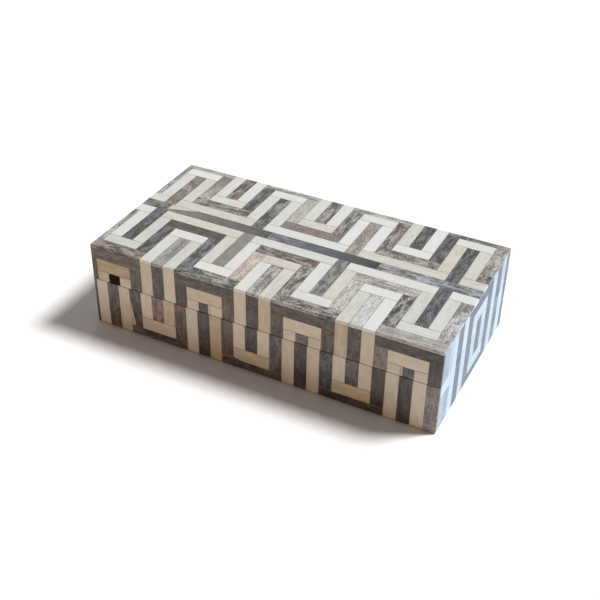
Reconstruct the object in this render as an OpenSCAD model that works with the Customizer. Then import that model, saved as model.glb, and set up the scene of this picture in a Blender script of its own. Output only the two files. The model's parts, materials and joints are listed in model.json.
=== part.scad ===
// Wooden box covered with strips of bone laid in a fret pattern, with a hinged lid.
//
// A wooden base and a wooden lid are each glued up from boards and covered outside with
// strips of white and grey bone. Two brass stop hinges let into the back rims join them.
// Millimetres. Origin at the centre of the underside, +X along the box to the right,
// -Y to the front and +Z up.

/* [Box] */
// Length of the box, over the bone
box_l = 256; // [205:1:320]
// Depth of the box from front to back, over the bone
box_w = 131; // [105:1:165]
// Height of the closed box
box_h = 65; // [54:1:90]
// Height of the lid, from the seam to the top
lid_h = 27.6; // [22:0.1:36]

/* [Carcass] */
// Thickness of the wooden side walls
wall_t = 6; // [5:0.1:8]
// Thickness of the lid's top board
lid_board_t = 5; // [3:0.1:7]
// Thickness of the base's bottom board
base_board_t = 5; // [3:0.1:7]
// Thickness of the felt under the base
felt_t = 0.6; // [0.5:0.1:1.5]
// How far the felt stays inside the base's outer edge
felt_margin = 5; // [3:0.5:12]
// Thickness of the velvet-covered card on the base's floor
lining_t = 1.2; // [0.8:0.1:2.5]
// Gap between the lining card and the walls
lining_gap = 0.4; // [0.2:0.1:1]

/* [Bone strips] */
// Thickness of the bone strips
bone_t = 2.2; // [1.6:0.1:3]
// Width of one strip of the top and lid, with its glue line
strip_pitch = 9; // [7.5:0.1:11]
// Width of the glue line between two strips
glue_line = 0.16; // [0.1:0.01:0.3]
// Narrowest strip that is laid at an edge
min_strip = 1.2; // [1:0.1:2]
// How far the strips stop short of the seam, on each side of it
seam_relief = 0.15; // [0.1:0.05:0.4]

/* [Fret on the top] */
// Distance from the box's left edge to the first joint line
grid_start = 4.35; // [0:0.05:8]
// How far the centre band lies behind the middle of the box
band_offset = 2; // [-4:0.5:4]
// Length of the centre band's first piece
band_first_l = 20.5; // [10:0.5:40]
// Length of each other piece of the centre band
band_piece_l = 82; // [50:1:90]
// Length of the cream wedge beside the centre band's second piece
band_wedge_l = 21; // [10:0.5:30]
// Width of the cut-down rails along the back edge
back_edge_rail_w = 5; // [2:0.5:11]

/* [Fret on the sides] */
// Distance from the top of the box down to the joint under the first rail
lid_rail_drop = 10.2; // [9:0.1:12]
// Height of the white rail on the lid's sides
lid_rail_h = 9.6; // [7:0.1:11]
// Height of the bottom rail on the base's sides
base_rail_h = 6.5; // [5:0.1:9]
// Height of the white rail above it
base_white_rail_h = 10; // [7:0.1:11]
// Width of one strip on the base's long sides, with its glue line
base_pitch = 9.08; // [7.5:0.01:11]
// Distance from the base's left edge to its first joint line
base_grid_start = 2.15; // [0:0.05:8]
// Width of one strip on the ends, with its glue line
end_pitch = 9.6; // [8:0.1:11]
// Distance from the front face to the middle of the end's fret
end_fret_centre = 71; // [60:0.5:78]
// Fret on the lid's front whose grey centre stub has fallen out, or -1 for none
lost_stub_fret = 0; // [-1:1:2]

/* [Hinges] */
// Length of each hinge
hinge_l = 25; // [18:0.5:32]
// Distance from the box's end to the middle of the hinge
hinge_inset = 50; // [30:1:80]
// Diameter of the hinge barrel
barrel_d = 3.2; // [2.8:0.1:4.5]
// Diameter of the hinge pin
pin_d = 1.4; // [1:0.1:1.8]
// Thickness of the hinge leaves
leaf_t = 0.9; // [0.7:0.05:1.3]
// Diameter of the screws' shanks
screw_d = 1.8; // [1.4:0.1:2.2]
// Length of the screws
screw_l = 9; // [6:0.5:12]
// How far the lid opens before the hinges stop it, in degrees
open_stop = 101; // [90:1:115]

/* [Hidden] */

WHITE_BONE = "#E6E3D8";
GREY_BONE = "#6E6A67";
FILLER_BONE = "#D9C7A6";
WOOD = "#8A5A34";
VELVET = "#4A1620";
FELT = "#23352B";
BRASS = "#B8924A";

// Smoothness of round parts
$fn = 48;

// Columns in one repeat of the fret
fret_columns = 8;
// Rows from the centre band out to the edge
fret_rows = 7;

// Heights of the seam and of the sheets of strips around it
seam_z = box_h - lid_h;
core_l = box_l - 2 * bone_t;
core_w = box_w - 2 * bone_t;
lid_sheet_z = seam_z + seam_relief;
lid_sheet_h = box_h - bone_t - lid_sheet_z;
base_sheet_h = seam_z - seam_relief - felt_t;

// The faces that strips are laid on, as [length, height]
top_face = [box_l, box_w];
lid_side_face = [box_l, lid_sheet_h];
base_side_face = [box_l, base_sheet_h];
lid_end_face = [core_w, lid_sheet_h];
base_end_face = [core_w, base_sheet_h];

// Joint lines across a face, as [first line, pitch]
lid_grid = [grid_start, strip_pitch];
base_grid = [base_grid_start, base_pitch];
// On an end the fret's grey centre column is column 0, between lines 1 and 2
end_grid = [end_fret_centre - bone_t - 1.5 * end_pitch, end_pitch];

// Edges of the centre band, measured from the front edge of the top
band_front = box_w / 2 + band_offset - strip_pitch / 2;
band_back = band_front + strip_pitch;

// Heights of the rails' joints above the bottom of their sheets
lid_joint_high = box_h - lid_rail_drop - lid_sheet_z;
lid_joint_low = lid_joint_high - lid_rail_h;
base_joint_low = base_rail_h;
base_joint_high = base_rail_h + base_white_rail_h;

// Corner block of the ends: its narrow strip, and the grey strips under the base's white one
end_first_column = -4;
end_block_w = joint(end_grid, end_first_column);
end_narrow_w = 5.8;

// Hinges
hinge_x = box_l / 2 - hinge_inset;
barrel_gap = 0.1;
knuckle_gap = 0.2;
leaf_relief = 0.05;
mortise_gap = 0.1;
leaf_setback = 0.8;
pin_gap = 0.05;
pin_head_d = pin_d + 0.8;
pin_head_t = 0.4;
heel_t = 0.9;
heel_l = 1.25;
heel_gap = 0.15;
screw_head_d = 3.4;
screw_gap = 0.05;
slot_w = 0.5;
slot_depth = 0.35;
screw_spacing = hinge_l * 0.6;
hinge_axis_y = box_w / 2 + barrel_gap + barrel_d / 2;
// Distances in front of the hinge axis
leaf_reach = barrel_gap + barrel_d / 2 + bone_t + wall_t - leaf_setback;
heel_start = barrel_d / 2 + heel_gap;
// Radius in the middle of a knuckle's wall
mid_ring = (barrel_d + pin_d) / 4;
screw_reach = barrel_gap + barrel_d / 2 + bone_t + wall_t / 2;
screw_head_h = (screw_head_d - screw_d) / 2;
knuckle_l = (hinge_l - 2 * knuckle_gap) / 3;
// Turn taken up by the thickness of two heels where they meet
heel_meet = 2 * atan(heel_t / 2 / heel_start);
heel_angle = 180 - (open_stop + heel_meet) / 2;

// ---- Strips -------------------------------------------------------------------------

// Column of the fret that lies between joint lines k and k + 1
function fret_column(k) = ((k - 1) % fret_columns + fret_columns) % fret_columns;

// Position of joint line k of a grid
function joint(grid, k) = grid[0] + k * grid[1];

// Indices of the strips that a grid has on a face, with the frets cut by its edges
function strip_indices(grid, face) =
    [-ceil(grid[0] / grid[1]) - fret_columns / 2 :
     ceil((face[0] - grid[0]) / grid[1]) + fret_columns / 2];

// Edges of a strip between two joint lines: at the face's edge it has no glue line
function low_edge(a) = a <= 0 ? 0 : a + glue_line / 2;
function high_edge(b, limit) = b >= limit ? limit : b - glue_line / 2;

// One strip between joint lines u and v of a face, cut off at the face's edges
module strip(u, v, face) {
    u0 = low_edge(u[0]);
    u1 = high_edge(u[1], face[0]);
    v0 = low_edge(v[0]);
    v1 = high_edge(v[1], face[1]);
    if (u1 - u0 >= min_strip && v1 - v0 >= min_strip)
        translate([u0, v0, 0])
            cube([u1 - u0, v1 - v0, bone_t]);
}

// Upright strips in the given columns of every fret
module columns(wanted, v, grid, face) {
    for (k = strip_indices(grid, face))
        if (len(search(fret_column(k), wanted)) > 0)
            strip([joint(grid, k), joint(grid, k + 1)], v, face);
}

// Level strips as long as several columns, centred on one column of every fret
module rails(centre, columns_long, v, grid, face) {
    reach = (columns_long - 1) / 2;
    for (k = strip_indices(grid, face))
        if (fret_column(k) == centre)
            strip([joint(grid, k - reach), joint(grid, k + 1 + reach)], v, face);
}

// ---- Top of the lid -----------------------------------------------------------------

// The rails nearest the band are laid from the band, and the two nearest the edge from the
// edge, so the legs between them take up whatever width is left
inner_rails = 3;

// Distance of the joint line outside row r from the edge, with the edge's rail as wide as given
function from_edge(r, edge_rail_w) =
    r >= fret_rows ? 0 : edge_rail_w + (fret_rows - 1 - r) * strip_pitch;

// Joint line outside row r, on the front half (side -1) or the back half (side 1)
function row_line(r, side) =
    side < 0
        ? (r > inner_rails ? from_edge(r, strip_pitch) : band_front - r * strip_pitch)
        : (r > inner_rails ? box_w - from_edge(r, back_edge_rail_w) : band_back + r * strip_pitch);

// The stretch from row first to row last, as seen from the front edge
function rows(first, last, side) =
    side < 0
        ? [row_line(last, side), row_line(first - 1, side)]
        : [row_line(first - 1, side), row_line(last, side)];

module top_sheet() {
    translate([-box_l / 2, -box_w / 2, box_h - bone_t])
        children();
}

module top_columns(wanted, first, last) {
    top_sheet()
        for (side = [-1, 1])
            columns(wanted, rows(first, last, side), lid_grid, top_face);
}

module top_rails(centre, columns_long, row) {
    top_sheet()
        for (side = [-1, 1])
            rails(centre, columns_long, rows(row, row, side), lid_grid, top_face);
}

// Wedge that makes up the width where the band's second piece is cut to a point
module band_wedge(grow) {
    start = band_first_l + glue_line / 2 - grow;
    tip = band_first_l + band_wedge_l + grow;
    linear_extrude(bone_t + grow)
        polygon([
            [start, band_front + strip_pitch / 4 - grow],
            [tip, band_back - glue_line / 2 - min_strip / 2],
            [tip, band_back - glue_line / 2 + grow],
            [start, band_back - glue_line / 2 + grow]
        ]);
}

module top_centre_band() {
    color(GREY_BONE)
        top_sheet()
            difference() {
                union() {
                    strip([0, band_first_l], [band_front, band_back], top_face);
                    for (u = [band_first_l : band_piece_l : box_l - min_strip])
                        strip([u, u + band_piece_l], [band_front, band_back], top_face);
                }
                translate([0, 0, -glue_line / 2])
                    band_wedge(glue_line);
            }
}

module top_long_white_rails() {
    color(WHITE_BONE) top_rails(4, 7, 1);
}

module top_long_grey_rails() {
    color(GREY_BONE) top_rails(4, 5, 2);
}

module top_short_white_rails() {
    color(WHITE_BONE) top_rails(4, 3, 3);
}

module top_grey_posts() {
    color(GREY_BONE) top_columns([0], 1, 5);
}

module top_white_legs() {
    color(WHITE_BONE) top_columns([1, 7], 2, 5);
}

module top_grey_legs() {
    color(GREY_BONE) top_columns([2, 6], 3, 6);
}

module top_white_tongues() {
    color(WHITE_BONE) top_columns([3, 5], 4, 7);
}

module top_grey_tongues() {
    color(GREY_BONE) top_columns([4], 4, 7);
}

module top_edge_white_rails() {
    color(WHITE_BONE) top_rails(0, 3, 6);
}

module top_edge_grey_rails() {
    color(GREY_BONE) top_rails(0, 5, 7);
}

// ---- Sides of the lid and the base --------------------------------------------------

// Each face is laid out flat, with its lower left corner at the origin, and stood up here
module front_sheet(bottom_z) {
    translate([-box_l / 2, -box_w / 2 + bone_t, bottom_z])
        rotate([90, 0, 0])
            children();
}

module back_sheet(bottom_z) {
    mirror([0, 1, 0])
        front_sheet(bottom_z)
            children();
}

module right_sheet(bottom_z) {
    translate([box_l / 2 - bone_t, -core_w / 2, bottom_z])
        rotate([90, 0, 90])
            children();
}

module left_sheet(bottom_z) {
    mirror([1, 0, 0])
        right_sheet(bottom_z)
            children();
}

// Lid, long sides: two rails along the top edge, with the tongues and posts below them
module lid_side_grey_rails() {
    rails(0, 5, [lid_joint_high, lid_sheet_h], lid_grid, lid_side_face);
}

module lid_side_white_rails() {
    rails(0, 3, [lid_joint_low, lid_joint_high], lid_grid, lid_side_face);
}

module lid_side_grey_strips() {
    columns([2, 6], [0, lid_joint_high], lid_grid, lid_side_face);
    columns([4], [0, lid_sheet_h], lid_grid, lid_side_face);
    columns([0], [0, lid_joint_low], lid_grid, lid_side_face);
}

module lid_side_white_strips() {
    columns([3, 5], [0, lid_sheet_h], lid_grid, lid_side_face);
    columns([1, 7], [0, lid_joint_low], lid_grid, lid_side_face);
}

// Base, long sides: two rails along the bottom edge, with the posts between them
module base_side_grey_rails() {
    rails(4, 5, [0, base_joint_low], base_grid, base_side_face);
}

module base_side_white_rails() {
    rails(4, 3, [base_joint_low, base_joint_high], base_grid, base_side_face);
}

module base_side_grey_strips() {
    columns([2, 6], [base_joint_low, base_sheet_h], base_grid, base_side_face);
    columns([4], [base_joint_high, base_sheet_h], base_grid, base_side_face);
    columns([0], [0, base_sheet_h], base_grid, base_side_face);
}

module base_side_white_strips() {
    columns([3, 5], [base_joint_high, base_sheet_h], base_grid, base_side_face);
    columns([1, 7], [0, base_sheet_h], base_grid, base_side_face);
}

// The space of the centre stub that has fallen out of the lid's front
module lost_stub() {
    k = 1 + fret_columns * lost_stub_fret;
    if (lost_stub_fret >= 0)
        translate([joint(lid_grid, k), -bone_t, -bone_t / 2])
            cube([strip_pitch, lid_joint_low + bone_t, bone_t * 2]);
}

// Slivers of yellowed bone that fill out narrow stubs on the lid's front, as
// [joint line that the sliver lies against, width, side of the line it lies on]
lid_slivers = [[10, 1.7, -1], [25, 1.3, 1]];

module lid_sliver(sliver, grow) {
    start = joint(lid_grid, sliver[0]) + sliver[2] * glue_line / 2;
    width = sliver[1];
    left = sliver[2] < 0 ? start - width : start;
    translate([left - grow, -grow, -grow])
        cube([width + 2 * grow, lid_joint_low - glue_line / 2 + 2 * grow, bone_t + 2 * grow]);
}

module lid_slivers_cut() {
    for (sliver = lid_slivers)
        lid_sliver(sliver, glue_line);
}

module lid_filler_slivers() {
    color(FILLER_BONE) {
        top_sheet() band_wedge(0);
        front_sheet(lid_sheet_z)
            for (sliver = lid_slivers)
                lid_sliver(sliver, 0);
    }
}

// Wedge beside a leg of the base's front that was cut on a taper
leg_wedge_line = 3;
leg_wedge_w = 3.2;
leg_wedge_h = 20;

module leg_wedge(grow) {
    left = joint(base_grid, leg_wedge_line) + glue_line / 2;
    low = base_joint_low + glue_line / 2;
    translate([0, 0, -grow])
        linear_extrude(bone_t + 2 * grow)
            polygon([
                [left - grow, low - grow],
                [left + leg_wedge_w + grow, low - grow],
                [left + min_strip / 4 + grow, low + leg_wedge_h + grow],
                [left - grow, low + leg_wedge_h + grow]
            ]);
}

// Sliver between a short leg and the rail under it, whose corner is cut off
rail_wedge_line = 11;
rail_wedge_l = 14;
rail_wedge_h = 1.6;
rail_cut = 3;

module rail_wedge(grow) {
    left = joint(base_grid, rail_wedge_line) + glue_line / 2;
    high = base_joint_low + rail_wedge_h;
    translate([0, 0, -grow])
        linear_extrude(bone_t + 2 * grow)
            polygon([
                [left - grow, base_joint_low - rail_cut - grow],
                [left + rail_cut + grow, base_joint_low - glue_line],
                [left + rail_wedge_l + grow, base_joint_low - glue_line],
                [left + rail_wedge_l + grow, base_joint_low - glue_line / 2 + grow],
                [left + base_pitch - glue_line, high + grow],
                [left - grow, high + grow]
            ]);
}

module base_filler_slivers() {
    color(FILLER_BONE)
        front_sheet(felt_t) {
            leg_wedge(0);
            rail_wedge(0);
        }
}

module base_slivers_cut() {
    leg_wedge(glue_line);
    rail_wedge(glue_line);
}

// ---- Ends of the lid and the base ---------------------------------------------------

// Lines between which the ends' one whole fret lies
end_fret = [-1, 4];
end_last_column = ceil((core_w - end_grid[0]) / end_pitch) - 1;

function end_columns_span(first, last) = [joint(end_grid, first), joint(end_grid, last)];

module end_column(k, v, face) {
    strip(end_columns_span(k, k + 1), v, face);
}

// Strips outside the whole fret run the full height; even columns are grey, odd ones white
module end_outer_columns(parity, face) {
    for (run = [[end_first_column : end_fret[0] - 1], [end_fret[1] : end_last_column]], k = run)
        if (fret_column(k) % 2 == parity)
            end_column(k, [0, face[1]], face);
}

module lid_end_grey_strips() {
    strip(end_columns_span(end_fret[0], end_fret[1]), [lid_joint_high, lid_sheet_h], lid_end_face);
    for (k = [end_fret[0], end_fret[1] - 1])
        end_column(k, [0, lid_joint_high], lid_end_face);
    end_column(1, [0, lid_joint_low], lid_end_face);
    end_outer_columns(0, lid_end_face);
    strip([0, end_block_w - end_narrow_w], [0, lid_sheet_h], lid_end_face);
    strip([end_block_w - end_narrow_w, end_block_w], [0, lid_sheet_h], lid_end_face);
}

module lid_end_white_strips() {
    strip(end_columns_span(0, 3), [lid_joint_low, lid_joint_high], lid_end_face);
    for (k = [0, 2])
        end_column(k, [0, lid_joint_low], lid_end_face);
    end_outer_columns(1, lid_end_face);
}

module base_end_grey_strips() {
    block_joint = base_sheet_h - base_white_rail_h;
    strip(end_columns_span(end_fret[0], end_fret[1]), [0, base_joint_low], base_end_face);
    for (k = [end_fret[0], end_fret[1] - 1])
        end_column(k, [base_joint_low, base_sheet_h], base_end_face);
    end_column(1, [base_joint_high, base_sheet_h], base_end_face);
    end_outer_columns(0, base_end_face);
    strip([0, end_block_w / 2], [0, block_joint], base_end_face);
    strip([end_block_w / 2, end_block_w], [0, block_joint], base_end_face);
}

module base_end_white_strips() {
    strip(end_columns_span(0, 3), [base_joint_low, base_joint_high], base_end_face);
    for (k = [0, 2])
        end_column(k, [base_joint_high, base_sheet_h], base_end_face);
    end_outer_columns(1, base_end_face);
    strip([0, end_block_w], [base_sheet_h - base_white_rail_h, base_sheet_h], base_end_face);
}

// ---- Hinges -------------------------------------------------------------------------

// Hinge parts are drawn with the pin along X through the origin, leaf towards -Y
module at_hinge(side) {
    translate([side * hinge_x, hinge_axis_y, seam_z])
        children();
}

module along_pin(diameter, start, end) {
    translate([start, 0, 0])
        rotate([0, 90, 0])
            cylinder(d = diameter, h = end - start);
}

// Stretches of the pin held by the base leaf and by the lid leaf
base_knuckles = [[-hinge_l / 2, -hinge_l / 2 + knuckle_l], [hinge_l / 2 - knuckle_l, hinge_l / 2]];
lid_knuckles = [[-knuckle_l / 2, knuckle_l / 2]];

// Flat arm that stands out from the pin at the stop angle
module heel(x, radii, thickness) {
    rotate([-heel_angle, 0, 0])
        translate([x[0], -radii[1], -thickness / 2])
            cube([x[1] - x[0], radii[1] - radii[0], thickness]);
}

module screw_places() {
    for (x = [-screw_spacing / 2, screw_spacing / 2])
        translate([x, -screw_reach, leaf_relief])
            children();
}

// Countersunk screw, its head at the origin and its point up
module screw_shape(gap) {
    cylinder(d1 = screw_head_d + 2 * gap, d2 = screw_d + 2 * gap, h = screw_head_h);
    cylinder(d = screw_d + 2 * gap, h = screw_l + gap);
}

// The lid's leaf; the base's is the same turned upside down, with the other knuckles
module hinge_leaf(knuckles) {
    difference() {
        union() {
            translate([-hinge_l / 2, -leaf_reach, leaf_relief])
                cube([hinge_l, leaf_reach - heel_start, leaf_t]);
            heel([-hinge_l / 2, hinge_l / 2], [heel_start, heel_start + heel_l], heel_t);
            for (x = knuckles) {
                translate([x[0], -leaf_reach, leaf_relief])
                    cube([x[1] - x[0], leaf_reach - mid_ring, leaf_t]);
                along_pin(barrel_d, x[0], x[1]);
                heel(
                    [x[0] + heel_gap, x[1] - heel_gap],
                    [mid_ring, heel_start + heel_l / 2],
                    heel_t - heel_gap
                );
            }
        }
        along_pin(pin_d + 2 * pin_gap, -hinge_l, hinge_l);
        screw_places()
            screw_shape(screw_gap);
    }
}

module base_leaf(side) {
    color(BRASS)
        at_hinge(side)
            mirror([0, 0, 1])
                hinge_leaf(base_knuckles);
}

module lid_leaf(side) {
    color(BRASS)
        at_hinge(side)
            hinge_leaf(lid_knuckles);
}

module hinge_pin(side) {
    color(BRASS)
        at_hinge(side) {
            along_pin(pin_d, -hinge_l / 2 - pin_head_t, hinge_l / 2 + pin_head_t);
            along_pin(pin_head_d, -hinge_l / 2 - pin_head_t, -hinge_l / 2);
            along_pin(pin_head_d, hinge_l / 2, hinge_l / 2 + pin_head_t);
        }
}

module slotted_screw() {
    difference() {
        screw_shape(0);
        translate([-slot_w / 2, -screw_head_d, -slot_depth])
            cube([slot_w, 2 * screw_head_d, 2 * slot_depth]);
    }
}

module lid_screws() {
    for (side = [-1, 1])
        at_hinge(side)
            screw_places()
                slotted_screw();
}

// Recess for a leaf and its screws in the lid's rim
module lid_mortises() {
    for (side = [-1, 1])
        at_hinge(side) {
            translate([-hinge_l / 2 - mortise_gap, -leaf_reach - mortise_gap, -leaf_t])
                cube([hinge_l + 2 * mortise_gap, leaf_reach + mortise_gap, 2 * leaf_t + leaf_relief]);
            screw_places()
                cylinder(d = screw_d + 2 * screw_gap, h = screw_l + 2 * screw_gap);
        }
}

// What is let into the lid's rim is let into the base's rim too
module below_seam() {
    translate([0, 0, 2 * seam_z])
        mirror([0, 0, 1])
            children();
}

module base_hinge_screws() {
    color(BRASS)
        below_seam()
            lid_screws();
}

module lid_hinge_screws() {
    color(BRASS)
        lid_screws();
}

// ---- Carcass ------------------------------------------------------------------------

module board(size_z, bottom_z) {
    color(WOOD)
        translate([-core_l / 2, -core_w / 2, bottom_z])
            cube([core_l, core_w, size_z]);
}

// The long walls run from end to end, and the end walls fit between them
module front_wall(bottom_z, top_z) {
    translate([-core_l / 2, -core_w / 2, bottom_z])
        cube([core_l, wall_t, top_z - bottom_z]);
}

module right_wall(bottom_z, top_z) {
    translate([core_l / 2 - wall_t, -core_w / 2 + wall_t, bottom_z])
        cube([wall_t, core_w - 2 * wall_t, top_z - bottom_z]);
}

base_wall_z = felt_t + base_board_t;
lid_wall_top_z = box_h - bone_t - lid_board_t;

module base_bottom_board() {
    board(base_board_t, felt_t);
}

module lid_top_board() {
    board(lid_board_t, lid_wall_top_z);
}

module base_front_wall() {
    color(WOOD) front_wall(base_wall_z, seam_z);
}

module lid_front_wall() {
    color(WOOD) front_wall(seam_z, lid_wall_top_z);
}

module base_back_wall() {
    color(WOOD)
        difference() {
            mirror([0, 1, 0]) front_wall(base_wall_z, seam_z);
            below_seam() lid_mortises();
        }
}

module lid_back_wall() {
    color(WOOD)
        difference() {
            mirror([0, 1, 0]) front_wall(seam_z, lid_wall_top_z);
            lid_mortises();
        }
}

module base_right_wall() {
    color(WOOD) right_wall(base_wall_z, seam_z);
}

module base_left_wall() {
    color(WOOD) mirror([1, 0, 0]) right_wall(base_wall_z, seam_z);
}

module lid_right_wall() {
    color(WOOD) right_wall(seam_z, lid_wall_top_z);
}

module lid_left_wall() {
    color(WOOD) mirror([1, 0, 0]) right_wall(seam_z, lid_wall_top_z);
}

module floor_lining() {
    inset = wall_t + lining_gap;
    color(VELVET)
        translate([-core_l / 2 + inset, -core_w / 2 + inset, base_wall_z])
            cube([core_l - 2 * inset, core_w - 2 * inset, lining_t]);
}

module underside_felt() {
    color(FELT)
        translate([-box_l / 2 + felt_margin, -box_w / 2 + felt_margin, 0])
            cube([box_l - 2 * felt_margin, box_w - 2 * felt_margin, felt_t]);
}

// ---- Strips of the sides, in place --------------------------------------------------

module lid_front_grey_rails() {
    color(GREY_BONE) front_sheet(lid_sheet_z) lid_side_grey_rails();
}

module lid_front_white_rails() {
    color(WHITE_BONE) front_sheet(lid_sheet_z) lid_side_white_rails();
}

module lid_front_grey_strips() {
    color(GREY_BONE)
        front_sheet(lid_sheet_z)
            difference() {
                lid_side_grey_strips();
                lost_stub();
                lid_slivers_cut();
            }
}

module lid_front_white_strips() {
    color(WHITE_BONE) front_sheet(lid_sheet_z) lid_side_white_strips();
}

module lid_back_grey_rails() {
    color(GREY_BONE) back_sheet(lid_sheet_z) lid_side_grey_rails();
}

module lid_back_white_rails() {
    color(WHITE_BONE) back_sheet(lid_sheet_z) lid_side_white_rails();
}

module lid_back_grey_strips() {
    color(GREY_BONE)
        difference() {
            back_sheet(lid_sheet_z) lid_side_grey_strips();
            lid_mortises();
        }
}

module lid_back_white_strips() {
    color(WHITE_BONE)
        difference() {
            back_sheet(lid_sheet_z) lid_side_white_strips();
            lid_mortises();
        }
}

module base_front_grey_rails() {
    color(GREY_BONE)
        front_sheet(felt_t)
            difference() {
                base_side_grey_rails();
                rail_wedge(glue_line);
            }
}

module base_front_white_rails() {
    color(WHITE_BONE)
        front_sheet(felt_t)
            difference() {
                base_side_white_rails();
                rail_wedge(glue_line);
            }
}

module base_front_grey_strips() {
    color(GREY_BONE)
        front_sheet(felt_t)
            difference() {
                base_side_grey_strips();
                base_slivers_cut();
            }
}

module base_front_white_strips() {
    color(WHITE_BONE) front_sheet(felt_t) base_side_white_strips();
}

module base_back_grey_rails() {
    color(GREY_BONE) back_sheet(felt_t) base_side_grey_rails();
}

module base_back_white_rails() {
    color(WHITE_BONE) back_sheet(felt_t) base_side_white_rails();
}

module base_back_grey_strips() {
    color(GREY_BONE)
        difference() {
            back_sheet(felt_t) base_side_grey_strips();
            below_seam() lid_mortises();
        }
}

module base_back_white_strips() {
    color(WHITE_BONE)
        difference() {
            back_sheet(felt_t) base_side_white_strips();
            below_seam() lid_mortises();
        }
}

module lid_left_grey_strips() {
    color(GREY_BONE) left_sheet(lid_sheet_z) lid_end_grey_strips();
}

module lid_left_white_strips() {
    color(WHITE_BONE) left_sheet(lid_sheet_z) lid_end_white_strips();
}

module lid_right_grey_strips() {
    color(GREY_BONE) right_sheet(lid_sheet_z) lid_end_grey_strips();
}

module lid_right_white_strips() {
    color(WHITE_BONE) right_sheet(lid_sheet_z) lid_end_white_strips();
}

module base_left_grey_strips() {
    color(GREY_BONE) left_sheet(felt_t) base_end_grey_strips();
}

module base_left_white_strips() {
    color(WHITE_BONE) left_sheet(felt_t) base_end_white_strips();
}

module base_right_grey_strips() {
    color(GREY_BONE) right_sheet(felt_t) base_end_grey_strips();
}

module base_right_white_strips() {
    color(WHITE_BONE) right_sheet(felt_t) base_end_white_strips();
}

base_bottom_board();
base_front_wall();
base_back_wall();
base_left_wall();
base_right_wall();
lid_top_board();
lid_front_wall();
lid_back_wall();
lid_left_wall();
lid_right_wall();
floor_lining();
underside_felt();
base_leaf(-1);  // left_hinge_base_leaf
lid_leaf(-1);  // left_hinge_lid_leaf
hinge_pin(-1);  // left_hinge_pin
base_leaf(1);  // right_hinge_base_leaf
lid_leaf(1);  // right_hinge_lid_leaf
hinge_pin(1);  // right_hinge_pin
base_hinge_screws();
lid_hinge_screws();
top_centre_band();
top_long_white_rails();
top_long_grey_rails();
top_short_white_rails();
top_grey_posts();
top_white_legs();
top_grey_legs();
top_white_tongues();
top_grey_tongues();
top_edge_white_rails();
top_edge_grey_rails();
lid_front_grey_rails();
lid_front_white_rails();
lid_front_grey_strips();
lid_front_white_strips();
lid_back_grey_rails();
lid_back_white_rails();
lid_back_grey_strips();
lid_back_white_strips();
base_front_grey_rails();
base_front_white_rails();
base_front_grey_strips();
base_front_white_strips();
base_back_grey_rails();
base_back_white_rails();
base_back_grey_strips();
base_back_white_strips();
lid_left_grey_strips();
lid_left_white_strips();
lid_right_grey_strips();
lid_right_white_strips();
base_left_grey_strips();
base_left_white_strips();
base_right_grey_strips();
base_right_white_strips();
lid_filler_slivers();
base_filler_slivers();
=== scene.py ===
# %% [markdown]
# # A box laid with strips of bone
#
# A wooden box and its lid are covered outside with strips of bone, some bleached white and
# some smoked grey, laid in rows of nested square hooks. This notebook takes the exact model
# of the box, which is already in the right place and size, and gives it hand-cut strips,
# worn edges, glue lines, cloth linings and finishes.

# %% Load the exact model
import json
import math
import random

import bmesh
import bpy
from mathutils import Matrix, Vector


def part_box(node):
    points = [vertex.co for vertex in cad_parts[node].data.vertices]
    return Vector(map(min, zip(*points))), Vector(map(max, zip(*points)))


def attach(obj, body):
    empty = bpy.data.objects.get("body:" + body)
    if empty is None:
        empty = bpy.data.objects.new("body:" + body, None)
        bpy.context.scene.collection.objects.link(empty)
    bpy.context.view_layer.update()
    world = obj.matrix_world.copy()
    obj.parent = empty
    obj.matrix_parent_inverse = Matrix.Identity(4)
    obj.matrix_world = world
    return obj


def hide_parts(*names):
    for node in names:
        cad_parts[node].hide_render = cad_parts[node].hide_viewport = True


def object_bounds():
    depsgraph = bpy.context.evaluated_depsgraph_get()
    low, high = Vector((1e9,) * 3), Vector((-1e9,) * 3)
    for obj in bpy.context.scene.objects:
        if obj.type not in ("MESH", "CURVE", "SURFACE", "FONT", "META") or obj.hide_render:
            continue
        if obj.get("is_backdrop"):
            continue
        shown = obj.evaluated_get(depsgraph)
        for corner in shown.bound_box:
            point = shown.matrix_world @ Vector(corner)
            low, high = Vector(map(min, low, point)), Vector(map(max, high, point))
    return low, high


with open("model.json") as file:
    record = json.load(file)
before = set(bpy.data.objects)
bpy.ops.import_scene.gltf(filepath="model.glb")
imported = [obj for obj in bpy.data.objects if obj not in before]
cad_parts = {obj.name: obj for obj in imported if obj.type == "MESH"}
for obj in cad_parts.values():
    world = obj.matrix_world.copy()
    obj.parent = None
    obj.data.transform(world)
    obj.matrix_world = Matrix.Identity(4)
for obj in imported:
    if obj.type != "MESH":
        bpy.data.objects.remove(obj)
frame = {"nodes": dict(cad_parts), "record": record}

exact_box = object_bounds()
exact_size = exact_box[1] - exact_box[0]
print("nodes:", len(frame["nodes"]), "box:", [round(side * 1000, 1) for side in exact_size], "mm")

# %% [markdown]
# ## Units
#
# Blender works in metres, and a box maker in millimetres. One value turns one into the
# other, so that every size below can be read as it would be on the bench.

# %% Millimetres and colours
MM = 0.001


def colour(hex_code):
    """The linear colour that a shader wants, from an sRGB hex colour as a paint chart gives it."""
    channels = [int(hex_code[i:i + 2], 16) / 255 for i in (1, 3, 5)]
    linear = [c / 12.92 if c <= 0.04045 else ((c + 0.055) / 1.055) ** 2.4 for c in channels]
    return (*linear, 1.0)


print("mid grey #808080 is", round(colour("#808080")[0], 3), "in linear light")

# %% [markdown]
# ## Camera
#
# The box is seen from above its front, a little round to the right, through a lens a bit
# longer than normal, so its far end looks only slightly smaller. The camera is built from
# its looking direction rather than aimed with a constraint, because a hand-held picture is
# also tilted by a degree, and a constraint would always keep it level.

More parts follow.
